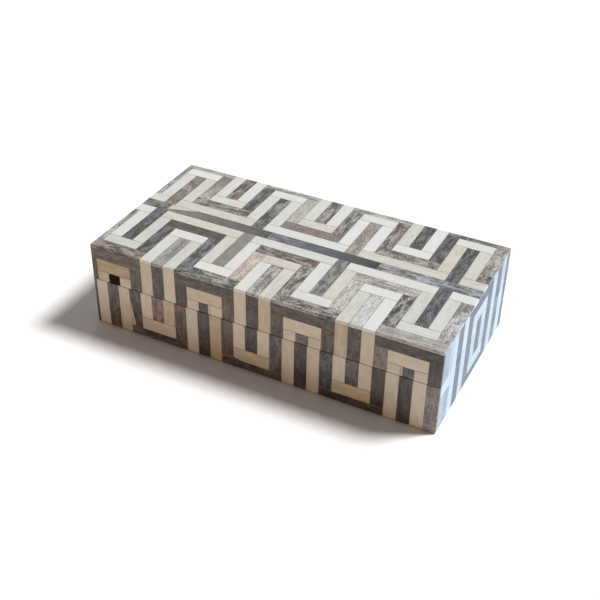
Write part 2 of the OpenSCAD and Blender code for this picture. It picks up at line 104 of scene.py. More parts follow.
# %% Camera
CAMERA_PLACE = Vector((260.5, -529.2, 437.7)) * MM
CAMERA_LENS = 61.34
CAMERA_ROUND = math.radians(26.22)
CAMERA_DOWN = math.radians(35.31)
CAMERA_ROLL = math.radians(1.03)

looking = Vector((
    -math.sin(CAMERA_ROUND) * math.cos(CAMERA_DOWN),
    math.cos(CAMERA_ROUND) * math.cos(CAMERA_DOWN),
    -math.sin(CAMERA_DOWN),
))
level_right = Vector((math.cos(CAMERA_ROUND), math.sin(CAMERA_ROUND), 0))
level_up = level_right.cross(looking)
right = level_right * math.cos(CAMERA_ROLL) + level_up * math.sin(CAMERA_ROLL)
up = right.cross(looking)

camera_data = bpy.data.cameras.new("camera")
camera_data.lens = CAMERA_LENS
camera = bpy.data.objects.new("camera", camera_data)
camera.matrix_world = Matrix.Translation(CAMERA_PLACE) @ Matrix((right, up, -looking)).transposed().to_4x4()
bpy.context.scene.collection.objects.link(camera)
bpy.context.scene.camera = camera
print("camera", round(CAMERA_PLACE.length, 3), "m from the middle of the box's underside")

# %% [markdown]
# ## Floor and light
#
# The box stands on white card. Daylight comes over its right end from high up behind, and
# is large enough to give a soft shadow towards the front left. A pale curtain behind the
# box lies where the polished top mirrors it, and gives the top its haze. A dim, warm room
# light near the floor reaches the shaded front, and a low cool one at the right is the
# window's glow on the right end. The lamps themselves are hidden from the camera, so that
# no view shows one. The picture is kept in the Standard view, so that white card is white.


# %% Floor and light
def lamp(name, kind, place, aim, power, hex_code, **settings):
    """A light at a place, turned to shine at a point."""
    data = bpy.data.lights.new(name, kind)
    data.energy = power
    data.color = colour(hex_code)[:3]
    for setting, value in settings.items():
        setattr(data, setting, value)
    made = bpy.data.objects.new(name, data)
    made.location = place
    made.rotation_euler = (Vector(aim) - Vector(place)).to_track_quat("-Z", "Y").to_euler()
    made.visible_camera = False
    bpy.context.scene.collection.objects.link(made)
    return made


DAYLIGHT_ROUND = math.radians(34)
DAYLIGHT_UP = math.radians(55.5)
daylight_from = Vector((
    math.cos(DAYLIGHT_ROUND) * math.cos(DAYLIGHT_UP),
    math.sin(DAYLIGHT_ROUND) * math.cos(DAYLIGHT_UP),
    math.sin(DAYLIGHT_UP),
))
BOX_MIDDLE = Vector((0, 0, 32.5)) * MM
FLOOR_REACH = 40
lamp("daylight", "SUN", daylight_from, (0, 0, 0), 3.45, "#FFFFFF", angle=math.radians(15))
lamp("pale_curtain", "AREA", (-0.43, 0.89, 0.68), BOX_MIDDLE, 1.5, "#FFFFFF", shape="SQUARE", size=0.8)
lamp("window_glow", "AREA", (0.78, 0.42, 0.10), BOX_MIDDLE, 3.4, "#10A8FF", shape="SQUARE", size=0.35)
lamp("warm_fill", "AREA", (-0.25, -1.0, 0.05), BOX_MIDDLE, 1.7, "#FF7A20", shape="SQUARE", size=0.3)

bpy.context.scene.view_settings.view_transform = "Standard"

floor_mesh = bpy.data.meshes.new("white_card_floor")
floor_bm = bmesh.new()
bmesh.ops.create_grid(floor_bm, x_segments=1, y_segments=1, size=FLOOR_REACH)
floor_bm.to_mesh(floor_mesh)
floor_bm.free()
floor = bpy.data.objects.new("white_card_floor", floor_mesh)
bpy.context.scene.collection.objects.link(floor)
floor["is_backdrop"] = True

# %% [markdown]
# ## Building a finish from nodes
#
# Every finish is a small network: coordinates go into noise textures, the textures are
# shaped by maths, and the results drive colour, roughness and bump. One function adds a
# node with its settings and links and hands back the output to use next, so a finish reads
# from its inside outwards, like a sum.


# %% A function that adds a node
def fill(material, node, inputs):
    """Sets a node's inputs, each to a value or to the output that feeds it."""
    for name, value in inputs.items():
        if isinstance(value, bpy.types.NodeSocket):
            material.node_tree.links.new(value, node.inputs[name])
        else:
            node.inputs[name].default_value = value


def add(material, kind, inputs=None, output=None, **settings):
    """Adds a node and gives one of its outputs: the one that is named, or the first in use."""
    node = material.node_tree.nodes.new("ShaderNode" + kind)
    for name, value in settings.items():
        setattr(node, name, value)
    fill(material, node, inputs or {})
    return node.outputs[output] if output else next(o for o in node.outputs if o.enabled)


def new_finish(name):
    """An empty material for a finish."""
    material = bpy.data.materials.new(name)
    material.use_nodes = True
    return material


def shade(material, inputs):
    """Fills the inputs of the material's surface shader."""
    fill(material, material.node_tree.nodes["Principled BSDF"], inputs)


def per(*lengths):
    """The scale that makes a pattern's features as long as the given lengths."""
    return [1 / length for length in lengths]


print("Finishes are built with add() and shade()")

# %% [markdown]
# ## Walls of the room
#
# The room is dim, so that the shaded front stays darker than the top, but its walls are
# pale close to the floor, so that a low view has a pale background. The brightness follows
# the height that a ray points to, which is the Z of its direction.

# %% Walls of the room
room = bpy.data.worlds.new("room")
room.use_nodes = True
direction = add(room, "TexCoord", output="Generated")
height = add(room, "SeparateXYZ", {"Vector": direction}, output="Z")
brightness = add(
    room, "MapRange",
    {"Value": height, "From Min": 0.03, "From Max": 0.2, "To Min": 1.0, "To Max": 0.155},
)
fill(room, room.node_tree.nodes["Background"], {"Color": colour("#FFFCF8"), "Strength": brightness})
bpy.context.scene.world = room
print("room:", room.name)

# %% [markdown]
# ## White card
#
# The card under the box is matt paper. A very faint mottle keeps it from looking like a
# void, and its low specular level keeps it from mirroring the box.

# %% White card
white_card = new_finish("matt_white_card")
paper = add(white_card, "TexCoord", output="Object")
mottle = add(white_card, "TexNoise", {"Vector": paper, "Scale": 1 / (3 * MM), "Detail": 3.0})
shade(white_card, {
    "Base Color": add(
        white_card, "Mix", {0: mottle, 6: colour("#F9F9F8"), 7: colour("#FCFCFB")}, data_type="RGBA",
    ),
    "Roughness": add(white_card, "MapRange", {"Value": mottle, "To Min": 0.86, "To Max": 0.94}),
    "Normal": add(white_card, "Bump", {"Height": mottle, "Distance": 0.02 * MM}),
    "Specular IOR Level": 0.1,
})
floor.data.materials.append(white_card)
print("floor finish:", white_card.name)

# %% [markdown]
# ## Polished bone
#
# The strips are sawn from camel shin bone, boiled white or smoked to grey, glued down and
# ground flush, then buffed to a soft gloss. Bone is dense but it is built from long thin
# tubes, so a polished strip shows fine dashes and cloudy streaks along its length and never
# across it. Each strip has its own coordinates in millimetres, with x along the grain, and
# its own body tone and streak tone, all stored on its points, so one material can finish a
# hundred strips without any two looking the same.
#
# Bone reflects like a dense plastic, with an IOR of 1.54 and a roughness of about 0.3. The
# thin film of wax that buffing leaves is the coat. The tubes are 0.2 mm wide, and are drawn
# twice as coarse so that they show.

# %% Polished bone
CLOUD_SIZE = per(10.0, 3.4, 3.4)
MOTTLE_SIZE = per(2.4, 0.75, 0.75)
TUBE_SIZE = per(5.0, 0.42, 0.42)
PORE_SIZE = per(1.5, 0.45, 0.45)
FLUSHING_SIZE = per(16.0, 9.0, 9.0)
# How far a worn edge goes to the worn tone
BARED = 0.3


def polished_bone(name, worn_tone, cloudy, pore_depth, roughness):
    """Bone with the tones and figure that each strip carries, and its own tone where it is worn."""
    bone = new_finish(name)
    grain = add(bone, "Attribute", output="Vector", attribute_name="grain")
    body = add(bone, "Attribute", output="Color", attribute_name="body_tone")
    streak = add(bone, "Attribute", output="Color", attribute_name="streak_tone")
    figure = add(bone, "Attribute", output="Fac", attribute_name="figure")
    worn = add(bone, "Attribute", output="Fac", attribute_name="worn")

    patterns = {}
    for pattern, size, detail, rough, bent in (
        ("clouds", CLOUD_SIZE, 4.0, 0.6, 0.3), ("mottle", MOTTLE_SIZE, 5.0, 0.75, 0.1),
        ("tubes", TUBE_SIZE, 3.0, 0.6, 0.0), ("pores", PORE_SIZE, 2.0, 0.5, 0.3),
        ("flushing", FLUSHING_SIZE, 1.0, 0.5, 0.0),
    ):
        place = add(bone, "Mapping", {"Vector": grain, "Scale": size})
        patterns[pattern] = add(
            bone, "TexNoise",
            {"Vector": place, "Scale": 1.0, "Detail": detail, "Roughness": rough, "Distortion": bent},
            output="Fac",
        )

    mixed = add(bone, "Mix", {0: cloudy, 2: patterns["mottle"], 3: patterns["clouds"]})
    figured = add(
        bone, "MapRange", {"Value": mixed, "From Min": 0.44, "From Max": 0.575},
        interpolation_type="SMOOTHSTEP",
    )
    veined = add(bone, "Math", {0: figured, 1: figure}, operation="MULTIPLY")
    tone = add(bone, "Mix", {0: veined, 6: body, 7: streak}, data_type="RGBA")
    open_pores = add(
        bone, "MapRange",
        {"Value": patterns["pores"], "From Min": 0.54, "From Max": 0.66, "To Max": pore_depth},
    )
    tone = add(
        bone, "Mix", {0: open_pores, 6: tone, 7: colour("#4A443E")}, data_type="RGBA", blend_type="MULTIPLY",
    )
    bared = add(bone, "Math", {0: worn, 1: BARED}, operation="MULTIPLY")
    tone = add(bone, "Mix", {0: bared, 6: tone, 7: colour(worn_tone)}, data_type="RGBA")

    ground_flush = add(bone, "Bump", {"Height": patterns["flushing"], "Distance": 0.06 * MM, "Strength": 0.6})
    shade(bone, {
        "Base Color": tone,
        "Roughness": add(
            bone, "MapRange",
            {"Value": patterns["tubes"], "From Min": 0.3, "From Max": 0.7,
             "To Min": roughness - 0.05, "To Max": roughness + 0.08},
        ),
        "Normal": add(
            bone, "Bump",
            {"Height": patterns["tubes"], "Distance": 0.02 * MM, "Strength": 0.5, "Normal": ground_flush},
        ),
        "IOR": 1.54,
        "Coat Weight": 0.12,
        "Coat Roughness": 0.16,
    })
    return bone


bone_finishes = {
    # Boiled and bleached: nearly white, with faint tan streaks and few open pores
    "white_bone": polished_bone(
        "bleached_polished_bone", "#D2CFC4", cloudy=0.75, pore_depth=0.08, roughness=0.30,
    ),
    # Smoked: greys that are mottled along the grain, with soot in the pores
    "grey_bone": polished_bone(
        "smoked_polished_bone", "#8A867E", cloudy=0.50, pore_depth=0.75, roughness=0.33,
    ),
    # Old yellowed bone, which is kept for filling gaps
    "filler_bone": polished_bone(
        "yellowed_polished_bone", "#C6B79E", cloudy=0.60, pore_depth=0.20, roughness=0.34,
    ),
}
print("bone finishes:", [finish.name for finish in bone_finishes.values()])

# %% [markdown]
# ## Where the strips lie
#
# The joint lines of the fret run up the box at an even pitch, and each strip is known by
# the joint line at its left. The first line and the pitch are those of the exact model, in
# millimetres from the box's left end, or on its ends from the front of the wood.

# %% The fret's joint lines
# (first joint line, pitch)
TOP_GRID = (4.35, 9.0)
BASE_GRID = (2.15, 9.08)
END_GRID = (54.4, 9.6)
BONE_T = 2.2 * MM

body_of = {node: body for body, nodes in frame["record"]["behaviour"]["bodies"].items() for node in nodes}


def bone_slot(node):
    """Which of the three bones a node of strips is made of, or None for the other nodes."""
    if "filler_slivers" in node:
        return "filler_bone"
    if "_white_" in node:
        return "white_bone"
    if "_grey_" in node or node == "top_centre_band":
        return "grey_bone"
    return None


def extent(points):
    """Lowest and highest corner of some points."""
    return (
        Vector([min(point[axis] for point in points) for axis in range(3)]),
        Vector([max(point[axis] for point in points) for axis in range(3)]),
    )


bone_nodes = sorted(node for node in frame["nodes"] if bone_slot(node))
outside = {
    body: extent([corner for node in bone_nodes if body_of[node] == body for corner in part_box(node)])
    for body in ("base", "lid")
}
seam_top, seam_bottom = outside["lid"][0].z, outside["base"][1].z
wood_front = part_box("lid_front_wall")[0].y


def joint_line(node, middle):
    """The joint line at the left of a strip, from the strip's middle."""
    if "_left_" in node or "_right_" in node:
        grid = END_GRID
        along = middle.y - wood_front
    else:
        grid = BASE_GRID if node.startswith("base_") else TOP_GRID
        along = middle.x - outside["lid"][0].x
    first, pitch = grid
    return math.floor((along / MM - first) / pitch)


print("bone nodes:", len(bone_nodes), "- gap at the seam:", round((seam_top - seam_bottom) / MM, 2), "mm")

# %% [markdown]
# ## Tones of the strips
#
# A maker sorts bone only into white and dark, so the whites run from chalk to cream and the
# darks from soot to light ash, with brown and blue casts. The front's strips are also drawn
# browner and darker, which is painted warm shade, and the right end's colder and bluer, which
# is painted cold light. A strip's tones are drawn from a short palette by a random choice that
# is always the same for the same strip. Some strips are odd ones out, and those are named by
# their node, their joint line and the half of the box that they are on. A few change tone
# along their length.

# %% Palettes
# (body tone, streak tone, how strongly it is figured), and how many lots it has in the draw
PALETTES = {
    "white_bone": [
        (("#CFD0CA", "#C2C0B6", 0.45), 6),
        (("#D5D6D1", "#CAC9C1", 0.40), 6),
        (("#C9CAC2", "#B9B5A7", 0.50), 4),
        (("#CBCABF", "#BDB9A8", 0.50), 3),
        (("#D9DAD6", "#D0CFC9", 0.35), 4),
        (("#CAC7BA", "#B7B09D", 0.45), 1),
    ],
    "grey_bone": [
        (("#343537", "#AAA9A3", 0.95), 5),
        (("#2E2F32", "#97968F", 0.95), 3),
        (("#403D3A", "#B3AFA7", 0.95), 4),
        (("#3C3531", "#A99E94", 0.95), 3),
        (("#484746", "#BBB8B0", 0.95), 3),
        (("#2F3030", "#9C9D9A", 0.95), 3),
    ],
    "pale_grey_bone": [
        (("#807D77", "#CCC9C0", 0.95), 3),
        (("#736F6A", "#C4C0B7", 0.95), 3),
        (("#A6A49D", "#5A5753", 0.90), 2),
    ],
    "sooty_grey_bone": [
        (("#222325", "#7A7A7E", 0.90), 3),
        (("#262421", "#807C75", 0.90), 2),
        (("#212322", "#8A8C8A", 0.85), 2),
    ],
    # Painted warm shade: the front's bone is drawn browner and darker than the top's, for the shade that the
    # front stands in
    "front_white_bone": [
        (("#C1B8A2", "#B09F80", 0.45), 6),
        (("#C8C0AC", "#BAAB8E", 0.40), 5),
        (("#B8AC92", "#A08E6A", 0.50), 4),
        (("#C5BFAF", "#B7AB96", 0.40), 3),
    ],
    "front_grey_bone": [
        (("#2C251D", "#65584A", 0.95), 5),
        (("#241E1A", "#50463C", 0.95), 4),
        (("#392F25", "#756450", 0.95), 3),
        (("#35302B", "#6F6860", 0.95), 2),
        (("#222325", "#595C5E", 0.90), 1),
    ],
    # Painted cold light: the right end's bone is drawn colder and bluer, for the window's cold glow on it
    "right_white_bone": [
        (("#B8C6C8", "#A6B4BA", 0.50), 3),
        (("#BFCCCE", "#AEBCC2", 0.45), 3),
        (("#B0BDC2", "#9AA8B1", 0.55), 2),
    ],
    "right_grey_bone": [
        (("#1C2530", "#5E6A77", 0.95), 3),
        (("#161F2A", "#4E5A68", 0.95), 3),
        (("#25252F", "#666675", 0.90), 2),
        (("#2C3743", "#7C8B98", 0.95), 2),
    ],
    "filler_bone": [(("#BFB29C", "#A3937A", 0.50), 2), (("#B29D8C", "#8E7868", 0.55), 1)],
}

# Grey strips of the top that were sorted paler or darker than the rest
PALE_STRIPS = {
    ("top_edge_grey_rails", 9, "back"), ("top_edge_grey_rails", 17, "back"),
    ("top_grey_legs", 27, "back"), ("top_grey_legs", -1, "back"), ("top_grey_legs", -1, "front"),
    ("top_grey_tongues", 13, "front"), ("top_long_grey_rails", 27, "front"),
    ("top_long_grey_rails", 21, "front"),
}
SOOTY_STRIPS = {
    ("top_grey_legs", 3, "front"), ("top_grey_legs", 7, "back"), ("top_grey_legs", 23, "back"),
    ("top_grey_posts", 1, "front"), ("top_grey_posts", 25, "front"), ("top_grey_posts", 25, "back"),
    ("top_grey_tongues", 21, "back"), ("top_grey_legs", 7, "front"),
}

# body tone, streak tone, figure, and the body tone at the right or back end where it changes
ODD_STRIPS = {
    ("lid_filler_slivers", 2, "back"): ("#C9C3B2", "#B4AA92", 0.40),
    # This filler stands on the shaded front, so its dark brown is partly painted warm shade
    ("base_filler_slivers", 11, "front"): ("#6E5C4E", "#4E4038", 0.60),
    ("top_centre_band", -1, "back"): ("#3E3E40", "#77767A", 0.85),
    ("top_centre_band", 0, "back"): ("#3E3E3E", "#93928F", 0.90),
    ("top_centre_band", 6, "back"): ("#8C8A85", "#5E5B57", 0.85, "#3E3D3B"),
    ("top_centre_band", 15, "back"): ("#80868A", "#38424A", 0.80, "#040D16"),
    ("top_centre_band", 23, "back"): ("#4C5053", "#ADB1B3", 0.95),
    ("top_grey_legs", 11, "front"): ("#CFC3B8", "#97857A", 0.70),
    ("top_grey_legs", 11, "back"): ("#BFBEB6", "#8C8B85", 0.65),
    ("top_grey_legs", 19, "front"): ("#D0CEC6", "#8A8780", 0.75),
    ("top_grey_legs", 27, "front"): ("#C8C8C6", "#64625F", 0.85),
    ("top_grey_tongues", 21, "front"): ("#D2D5D2", "#999A97", 0.60),
    ("top_grey_tongues", 5, "front"): ("#A5A4A0", "#62605C", 0.75),
    ("top_grey_posts", 9, "front"): ("#7D7B77", "#95938F", 0.60),
    ("top_grey_posts", 17, "front"): ("#535453", "#9A9B98", 0.95),
    ("top_grey_posts", 1, "back"): ("#5E5852", "#A79E91", 0.90),
    ("top_grey_posts", 17, "back"): ("#857C74", "#B5ADA5", 0.90),
    ("top_long_grey_rails", 5, "front"): ("#38302E", "#5F5350", 0.90),
    ("top_long_grey_rails", 13, "back"): ("#736861", "#8F827A", 0.85),
    ("top_edge_grey_rails", 1, "back"): ("#BBB7AF", "#8A867E", 0.80),
    ("top_grey_legs", 3, "back"): ("#BDBBB2", "#65625D", 0.90, "#6E6B66"),
    ("top_edge_grey_rails", 25, "front"): ("#B5B3AC", "#84817B", 0.75),
    # The front's odd strips below are drawn in the same painted warm shade as the front palettes
    ("lid_front_white_rails", 1, "front"): ("#A99A78", "#8F7B56", 0.50),
    ("lid_front_grey_strips", -1, "front"): ("#3A2A1E", "#5C4632", 0.80),
    ("lid_front_grey_strips", 7, "front"): ("#2A1E1A", "#6A4638", 0.70),
    ("lid_front_grey_strips", 9, "front"): ("#33231E", "#5C4238", 0.75),
    ("lid_front_grey_strips", 17, "front"): ("#564A42", "#7A6E64", 0.85),
    ("lid_front_grey_strips", 23, "front"): ("#6B6058", "#8E8378", 0.85),
    ("lid_front_grey_strips", 25, "front"): ("#1F2226", "#6E7276", 0.85),
    ("base_front_grey_strips", -1, "front"): ("#2E2018", "#5E4630", 0.85),
    ("base_front_grey_strips", 5, "front"): ("#8C7A68", "#3E3630", 0.85),
    ("base_front_grey_strips", 11, "front"): ("#43332C", "#6A5448", 0.80),
    ("base_front_grey_strips", 27, "front"): ("#6B6460", "#96908A", 0.90),
    ("base_front_grey_rails", 27, "front"): ("#968C80", "#6A6058", 0.80),
    ("base_front_white_strips", 10, "front"): ("#B3A384", "#9C8A68", 0.35),
    ("lid_front_white_strips", 14, "front"): ("#BFB194", "#A89878", 0.40),
    # The right end's odd strips below are drawn in the same painted cold light as the right palettes
    ("lid_right_grey_strips", -6, "front"): ("#96A5B2", "#7C8C9C", 0.60),
    ("lid_right_grey_strips", -5, "front"): ("#BAC6CA", "#94A2AC", 0.55),
    ("base_right_grey_strips", -6, "front"): ("#98A6B0", "#B2BEC4", 0.70),
    ("base_right_grey_strips", -5, "front"): ("#939FAA", "#788799", 0.70),
}


def palette(node, strip):
    """The palette that a strip's tones are drawn from."""
    slot = bone_slot(node)
    if strip in PALE_STRIPS:
        return "pale_" + slot
    if strip in SOOTY_STRIPS:
        return "sooty_" + slot
    # The front's strips take the palettes with painted warm shade, and the right end's those with painted
    # cold light
    side = next((side for side in ("front_", "right_") if side in node), "")
    return side + slot if slot != "filler_bone" else slot


def tones(node, middle):
    """Body tone, streak tone, figure and far tone of the strip with that middle."""
    line, half = joint_line(node, middle), "front" if middle.y < 0 else "back"
    strip = (node, line, half)
    if strip in ODD_STRIPS:
        body, streak, figure, *far = ODD_STRIPS[strip]
    else:
        dice = random.Random(f"tone {node} {line} {half} {round(middle.z / MM)}")
        lots = PALETTES[palette(node, strip)]
        (body, streak, figure), *far = dice.choices([lot[0] for lot in lots], [lot[1] for lot in lots])
    return colour(body), colour(streak), figure, colour(far[0]) if far else colour(body)


print("odd strips:", len(ODD_STRIPS))

# %% [markdown]
# ## Cutting the strips by hand
#
# The exact strips are perfect blocks, and real ones are sawn and filed by hand. Each node's
# mesh is copied, merged and cleaned into plain blocks. The corners that face a neighbour
# are then pulled in by up to about a tenth of a millimetre, so that joints run slightly out
# of true, while faces on the outside of the box stay exactly where they are.

# %% Strips as blocks
HAND_CUT = 0.11 * MM
NEAR = 0.001 * MM
# Faces that meet at less than this angle are made into one
FLAT_ANGLE = math.radians(0.5)


def islands(bm):
    """The separate strips in a mesh, as lists of points."""
    left, found = set(bm.verts), []
    for start in bm.verts:
        if start in left:
            left.discard(start)
            to_visit, strip = [start], []
            while to_visit:
                vert = to_visit.pop()
                strip.append(vert)
                for neighbour in (edge.other_vert(vert) for edge in vert.link_edges):
                    if neighbour in left:
                        left.discard(neighbour)
                        to_visit.append(neighbour)
            found.append(strip)
    return found


def face_axes(node):
    """The two axes of the face that a node's strips are laid on."""
    if node.startswith("top_"):
        return 0, 1
    return (1, 2) if "_left_" in node or "_right_" in node else (0, 2)


def cut_strips(node):
    """A node's strips as blocks, with their inner corners pulled in by a random hair's breadth."""
    bm = bmesh.new()
    bm.from_mesh(frame["nodes"][node].data)
    bmesh.ops.remove_doubles(bm, verts=bm.verts, dist=NEAR)
    bmesh.ops.dissolve_limit(bm, angle_limit=FLAT_ANGLE, verts=bm.verts, edges=bm.edges)
    if bone_slot(node) == "filler_bone":
        return bm
    walls = outside[body_of[node]]
    for number, strip in enumerate(islands(bm)):
        dice = random.Random(f"cut {node} {number}")
        ends = extent([vert.co for vert in strip])
        pull = {
            (corner, axis): dice.uniform(0, HAND_CUT)
            for corner in ((a, b) for a in (0, 1) for b in (0, 1)) for axis in face_axes(node)
        }
        for vert in strip:
            at = [[abs(vert.co[axis] - end[axis]) < NEAR for end in ends] for axis in face_axes(node)]
            if all(any(near) for near in at):
                corner = tuple(near.index(True) for near in at)
                for axis, side in zip(face_axes(node), corner):
                    if abs(ends[side][axis] - walls[side][axis]) > NEAR:
                        vert.co[axis] += pull[corner, axis] * (-1 if side else 1)
    return bm


blocks = {node: cut_strips(node) for node in bone_nodes}
print("strips cut:", sum(len(islands(bm)) for bm in blocks.values()))

# %% [markdown]
# ## Glue between the strips
#
# The strips are bedded in dark hide glue, which also fills the joints and is scraped back
# until it lies a hair below the bone. Drawing every joint would be endless. Instead a thin
# plate fills the whole sheet and the strips are cut out of it, which leaves a lattice that
# fits every hand-cut edge. The plates also lose the hinges' recesses, and the front one has
# a hole where a short strip has fallen out.

# %% Glue lattice
GLUE_BELOW = 0.06 * MM
HINGE_ROOM = 0.2 * MM


def sheet_body(sheet):
    """The body that a sheet of strips is glued to."""
    return "base" if sheet.startswith("base") else "lid"


def sheet_nodes(sheet):
    """The nodes of strips that lie in a sheet, with the fillers of its body."""
    return [n for n in bone_nodes if n.startswith(sheet + "_")] + [f"{sheet_body(sheet)}_filler_slivers"]


def mesh_object(name, bm, finish):
    """An object made from a bmesh, with its finish."""
    mesh = bpy.data.meshes.new(name)
    bm.to_mesh(mesh)
    bm.free()
    mesh.materials.append(finish)
    made = bpy.data.objects.new(name, mesh)
    bpy.context.scene.collection.objects.link(made)
    return made


def add_block(bm, low, high):
    """Adds a block between two corners to a mesh."""
    place = Matrix.Translation((low + high) / 2) @ Matrix.Diagonal((*(high - low), 1))
    return bmesh.ops.create_cube(bm, size=1, matrix=place)["verts"]


def glue_lattice(sheet, finish, holes=()):
    """What is left of a sheet's plate when its strips, the hinges' room and any holes are cut out."""
    body = sheet_body(sheet)
    low, high = extent([corner for n in sheet_nodes(sheet)[:-1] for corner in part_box(n)])
    inset = Vector((GLUE_BELOW,) * 3)
    plate_bm = bmesh.new()
    add_block(plate_bm, low + inset, high - inset)
    cutters = [mesh_object(f"{node}_cutter", blocks[node].copy(), finish) for node in sheet_nodes(sheet)]
    rooms_bm = bmesh.new()
    room_for_hinge = Vector((HINGE_ROOM,) * 3)
    for side in ("left", "right"):
        hinge_low, hinge_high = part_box(f"{side}_hinge_{body}_leaf")
        add_block(rooms_bm, hinge_low - room_for_hinge, hinge_high + room_for_hinge)
    for hole in holes:
        add_block(rooms_bm, *hole)
    cutters.append(mesh_object("rooms_cutter", rooms_bm, finish))
    plate = mesh_object("plate", plate_bm, finish)
    for tool in cutters:
        cut = plate.modifiers.new("cut", "BOOLEAN")
        cut.operation, cut.solver, cut.object = "DIFFERENCE", "EXACT", tool
    cut_plate = plate.evaluated_get(bpy.context.evaluated_depsgraph_get())
    lattice_bm = bmesh.new()
    lattice_bm.from_mesh(cut_plate.to_mesh())
    for helper in (plate, *cutters):
        bpy.data.objects.remove(helper)
    lattice = mesh_object(f"{sheet}_glue", lattice_bm, finish)
    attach(lattice, body)
    return lattice


hide_glue = new_finish("scraped_hide_glue")
dried = add(hide_glue, "TexCoord", output="Object")
grit = add(hide_glue, "TexNoise", {"Vector": dried, "Scale": 1 / (0.8 * MM), "Detail": 4.0}, output="Fac")
shade(hide_glue, {
    "Base Color": add(
        hide_glue, "Mix", {0: grit, 6: colour("#5E4C3C"), 7: colour("#8E7860")}, data_type="RGBA",
    ),
    "Roughness": add(hide_glue, "MapRange", {"Value": grit, "To Min": 0.5, "To Max": 0.8}),
    "Normal": add(hide_glue, "Bump", {"Height": grit, "Distance": 0.05 * MM}),
    "IOR": 1.5,
})

# The short strip that is missing stood on the seam, from joint line 1 to joint line 2
STUB_HEIGHT = 7.65 * MM
stub_low = Vector((outside["lid"][0].x + (TOP_GRID[0] + TOP_GRID[1]) * MM, outside["lid"][0].y, seam_top))
stub_high = stub_low + Vector((TOP_GRID[1] * MM, BONE_T, STUB_HEIGHT))
SIDES = ("front", "back", "left", "right")
SHEETS = ["top"] + [f"{body}_{side}" for body in ("lid", "base") for side in SIDES]
lattices = {}
for sheet in SHEETS:
    holes = [(stub_low - Vector((0, MM, MM)), stub_high + Vector((0, MM, 0)))] if sheet == "lid_front" else []
    lattices[sheet] = glue_lattice(sheet, hide_glue, holes)
print("glue lattices:", {sheet: len(made.data.polygons) for sheet, made in lattices.items()})

# %% [markdown]
# ## Bed of the lost strip
#
# Where a short strip has fallen out of the lid's front, its bed of old glue is left, cracked.
# It is coloured near black, partly as dark old glue and partly as painted shade of the deep
# hole. It is a slab that almost fills the hole. Its outer face is cut into a fine grid, and
# each point of the grid is sunk by a random depth, as crumbled glue is.

# %% Bed of the lost strip
BED_BELOW = 0.8 * MM
CRUMB_DEPTH = 0.5 * MM
BED_CUTS = 8

dark_glue_and_painted_shade = new_finish("old_glue_and_painted_hole_shade")
place = add(dark_glue_and_painted_shade, "TexCoord", output="Object")
crumbs = add(dark_glue_and_painted_shade, "TexNoise", {"Vector": place, "Scale": 1 / (0.7 * MM), "Detail": 5.0}, output="Fac")
shade(dark_glue_and_painted_shade, {
    # Near black: partly dark old glue, partly painted shade of the hole's depth
    "Base Color": add(dark_glue_and_painted_shade, "Mix", {0: crumbs, 6: colour("#0B0806"), 7: colour("#2A2019")}, data_type="RGBA"),
    "Roughness": add(dark_glue_and_painted_shade, "MapRange", {"Value": crumbs, "To Min": 0.8, "To Max": 1.0}),
    "Normal": add(dark_glue_and_painted_shade, "Bump", {"Height": crumbs, "Distance": 0.2 * MM}),
    "Specular IOR Level": 0.2,
})
bed_bm = bmesh.new()
add_block(bed_bm, stub_low + Vector((0, BED_BELOW, 0)), stub_high)
bmesh.ops.subdivide_edges(bed_bm, edges=bed_bm.edges, cuts=BED_CUTS, use_grid_fill=True)
dice = random.Random("crumbs")
for vert in bed_bm.verts:
    inner = all(low + NEAR < at < high - NEAR for at, low, high in zip(vert.co.xz, stub_low.xz, stub_high.xz))
    if inner and vert.co.y < stub_low.y + BED_BELOW + NEAR:
        vert.co.y += dice.uniform(0, CRUMB_DEPTH)
bed = mesh_object("lost_strip_bed", bed_bm, dark_glue_and_painted_shade)
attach(bed, "lid")
print("bed of the lost strip:", len(bed.data.polygons), "faces")

# %% [markdown]
# ## Worn edges and grain
#
# Three bevels wear the strips: a wide one where hands have rubbed the box's outer edges, a
# narrow one around the seam of the lid, and a hair's breadth along every joint. Each is a
# bevel operator on the edges between the right two kinds of face, from the widest to the
# narrowest, so that the narrow ones run on over the wide ones. The strip's grain and tones
# are then stored on its points.

# %% Strips with worn edges
OUTER_WEAR = 0.62 * MM
SEAM_WEAR = 0.28 * MM
JOINT_WEAR = 0.09 * MM
# How steeply a strip changes to its far tone: at 1.5 it has all of it from two thirds on
FAR_REACH = 1.5
# Each strip's grain starts at a random place in this many millimetres
GRAIN_SPREAD = 900


def kind_of_face(face, body):
    """seam, outside or inner, for a face at the lid's joint, on the box's outside, or hidden."""
    for axis in range(3):
        side = face.normal[axis]
        limit = outside[body][1 if side > 0 else 0][axis]
        if abs(side) > 0.99 and abs(face.calc_center_median()[axis] - limit) < NEAR:
            return "seam" if axis == 2 and limit in (seam_top, seam_bottom) else "outside"
    return "inner"


def wear(bm, body, kinds, width, segments, rounded):
    """Bevels the edges whose two faces are of the given kinds."""
    edges = [
        edge for edge in bm.edges
        if len(edge.link_faces) == 2 and not any(face.smooth for face in edge.link_faces)
        and sorted(kind_of_face(face, body) for face in edge.link_faces) in kinds
    ]
    made = bmesh.ops.bevel(
        bm, geom=edges, offset=width, segments=segments, affect="EDGES", profile=0.5, material=-1,
        clamp_overlap=False,
    )
    for face in made["faces"]:
        face.smooth = rounded


